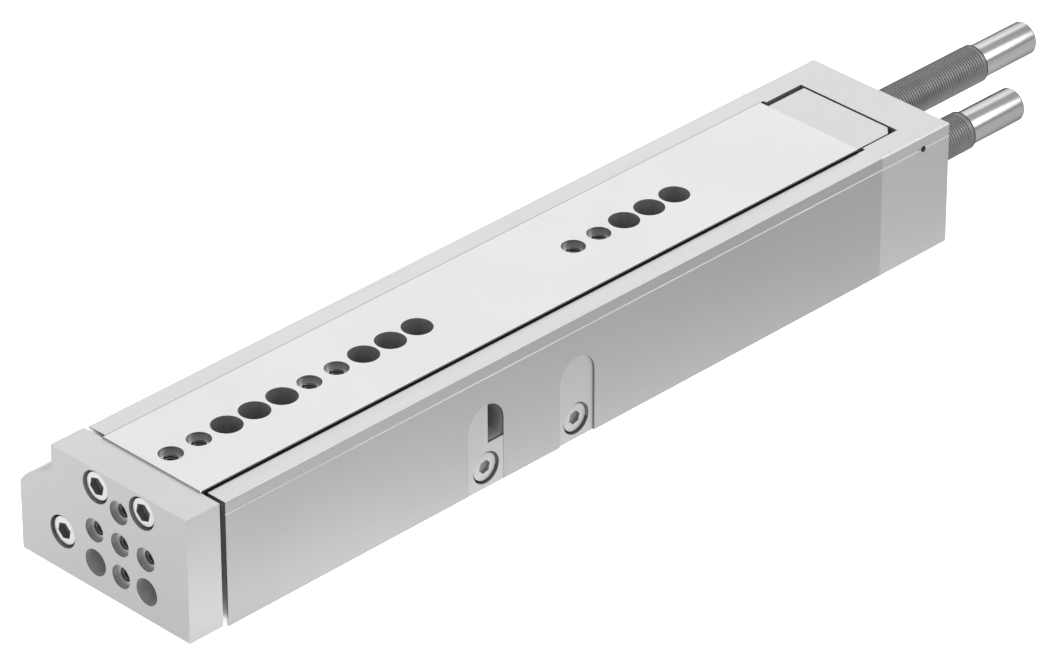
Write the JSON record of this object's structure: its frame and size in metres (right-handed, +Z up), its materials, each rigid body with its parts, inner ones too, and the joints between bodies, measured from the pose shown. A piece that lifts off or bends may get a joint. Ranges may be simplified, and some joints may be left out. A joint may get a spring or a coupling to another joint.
{
  "type": "pneumatic slide table",
  "caption": "Compact pneumatic slide table: a ball-guided steel slide in an aluminium housing, driven by a side cylinder, with a front tool plate and adjustable shock absorbers behind.",
  "frame": {"origin": "in the mounting face, in the middle of the housing's front edge", "axes": "+Z up from the mounting face, -Y the way the slide and the front plate advance, +X the side with the stop pockets"},
  "size_m": [0.066, 0.3706, 0.0396],
  "materials": {
    "anodised": "matte clear-anodised aluminium, finely brushed lengthwise on the housing side",
    "slide_steel": "finely ground bright steel",
    "hardened": "hardened and polished steel",
    "zinc": "bright zinc-plated steel",
    "absorber_steel": "dark nickel thread with a bright turned tail",
    "rubber": "black elastomer",
    "magnet": "dark sintered ring",
    "guide_plastic": "off-white moulded polymer"
  },
  "bodies": {
    "housing_body": {"housing": "anodised", "end_cap": "anodised", "cap_screws": "zinc", "cap_seal_ring": "rubber", "rod_bearing": "anodised", "bearing_seal_ring": "rubber", "rod_seal": "rubber", "retaining_ring": "hardened", "stop_block": "anodised", "stop_block_screw": "zinc", "pocket_cover": "anodised", "pocket_cover_screw": "zinc", "raceway_left": "hardened", "raceway_right": "hardened", "retract_absorber": "absorber_steel", "retract_absorber_nut": "absorber_steel"},
    "slide_body": {"slide_table": "slide_steel", "front_plate": "anodised", "plate_screws": "zinc", "rod_screw": "zinc", "piston_rod": "hardened", "piston_front": "anodised", "piston_rear": "anodised", "piston_seals": "rubber", "piston_magnet": "magnet", "piston_guide_ring": "guide_plastic", "piston_nut": "zinc", "rear_block": "anodised", "rear_block_screws": "zinc", "retract_stop_pin": "hardened", "advance_absorber": "absorber_steel", "advance_absorber_nut": "absorber_steel"},
    "cage_left": {"ball_cage_left": "guide_plastic", "balls_left": "hardened"},
    "cage_right": {"ball_cage_right": "guide_plastic", "balls_right": "hardened"},
    "retract_plunger_body": {"retract_plunger": "absorber_steel"},
    "advance_plunger_body": {"advance_plunger": "absorber_steel"}
  },
  "joints": [
    {"name": "slide_travel", "type": "slide", "parent": "housing_body", "child": "slide_body", "axis": [0, -1, 0], "range_m": [0, 0.15]},
    {"name": "cage_left_travel", "type": "slide", "parent": "housing_body", "child": "cage_left", "axis": [0, -1, 0], "range_m": [0, 0.075]},
    {"name": "cage_right_travel", "type": "slide", "parent": "housing_body", "child": "cage_right", "axis": [0, -1, 0], "range_m": [0, 0.075]},
    {"name": "retract_plunger_travel", "type": "slide", "parent": "housing_body", "child": "retract_plunger_body", "axis": [0, -1, 0], "range_m": [0, 0.008]},
    {"name": "advance_plunger_travel", "type": "slide", "parent": "slide_body", "child": "advance_plunger_body", "axis": [0, 1, 0], "range_m": [0, 0.008]}
  ],
  "couplings": [
    {"joint": "cage_left_travel", "follows": "slide_travel", "ratio": 0.5},
    {"joint": "cage_right_travel", "follows": "slide_travel", "ratio": 0.5},
    {"joint": "retract_plunger_travel", "follows": "slide_travel", "ratio": 0.0533},
    {"joint": "advance_plunger_travel", "follows": "slide_travel", "ratio": 0.0533}
  ]
}
